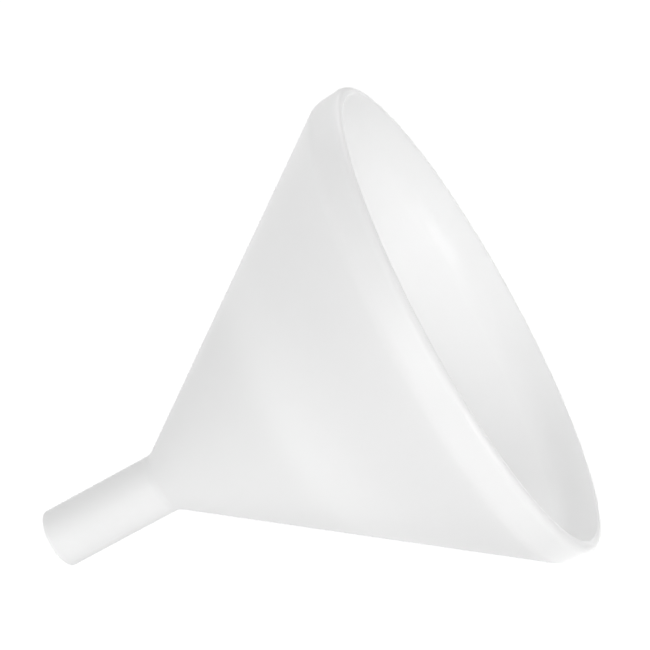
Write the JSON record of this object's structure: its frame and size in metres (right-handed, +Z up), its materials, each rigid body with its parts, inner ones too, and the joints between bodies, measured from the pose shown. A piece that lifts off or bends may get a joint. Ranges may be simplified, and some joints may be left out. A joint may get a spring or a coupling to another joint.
{
  "type": "buchner funnel",
  "caption": "Large conical vacuum filter funnel with a short upright collar and a straight stem, holding a loose perforated plate that lifts out of the mouth.",
  "frame": {"origin": "centre of the stem's open end, the lowest point of the funnel in use", "axes": "+Z up the funnel's axis, from the stem towards the mouth; X and Y are any two directions across it, with the plate's rows of holes starting on +X"},
  "size_m": [0.2596, 0.2596, 0.252],
  "materials": {
    "funnel_plastic": "satin natural polypropylene, milky and slightly translucent",
    "plate_plastic": "matte white polypropylene, opaque"
  },
  "bodies": {
    "funnel": {"funnel_body": "funnel_plastic"},
    "plate": {"filter_plate": "plate_plastic"}
  },
  "joints": [
    {"name": "plate_lift", "type": "slide", "parent": "funnel", "child": "plate", "axis": [0, 0, 1], "range_m": [0, 0.15]}
  ]
}
